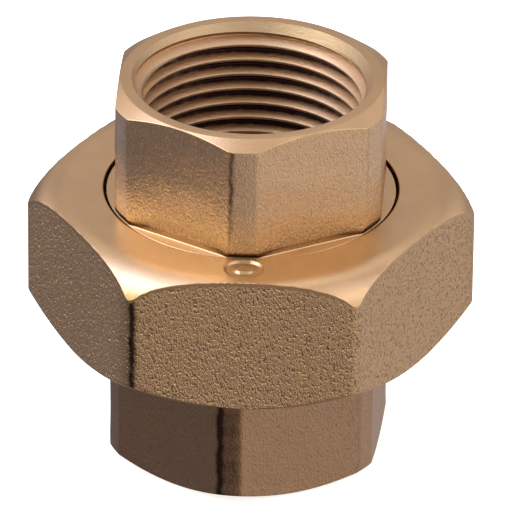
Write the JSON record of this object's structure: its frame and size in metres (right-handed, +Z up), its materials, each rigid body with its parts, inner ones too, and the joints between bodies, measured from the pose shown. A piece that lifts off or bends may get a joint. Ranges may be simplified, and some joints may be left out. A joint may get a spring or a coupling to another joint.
{
  "type": "pipe union",
  "caption": "Hexagonal flat-seat pipe union, internal thread at both ends, whose large hex nut unscrews so the two ends lift apart.",
  "frame": {"origin": "centre of the bottom end face, on the bore axis", "axes": "+Z up the bore axis towards the tail end, -Y towards one corner of the lower hexagon, +X towards one of its flats"},
  "size_m": [0.0628, 0.0576, 0.0574],
  "materials": {
    "end_bronze": "shot-blasted skin with machined end faces",
    "nut_bronze": "shot-blasted skin with machined top and bottom",
    "ring_rubber": "matt"
  },
  "bodies": {
    "lower": {"lower_end": "end_bronze"},
    "ring": {"sealing_ring": "ring_rubber"},
    "tail": {"tail_end": "end_bronze"},
    "nut": {"union_nut": "nut_bronze"}
  },
  "joints": [
    {"name": "seal_lift", "type": "slide", "parent": "lower", "child": "ring", "axis": [0, 0, 1], "range_m": [0, 0.00924]},
    {"name": "nut_turn", "type": "hinge", "parent": "ring", "child": "nut", "pos_m": [0, 0, 0.02985], "axis": [0, 0, 1], "range_deg": [0, 1440]},
    {"name": "tail_swivel", "type": "hinge", "parent": "ring", "child": "tail", "pos_m": [0, 0, 0.0449], "axis": [0, 0, 1], "continuous": true}
  ],
  "couplings": [
    {"joint": "seal_lift", "follows": "nut_turn", "m_per_rad": 0.00036749}
  ]
}
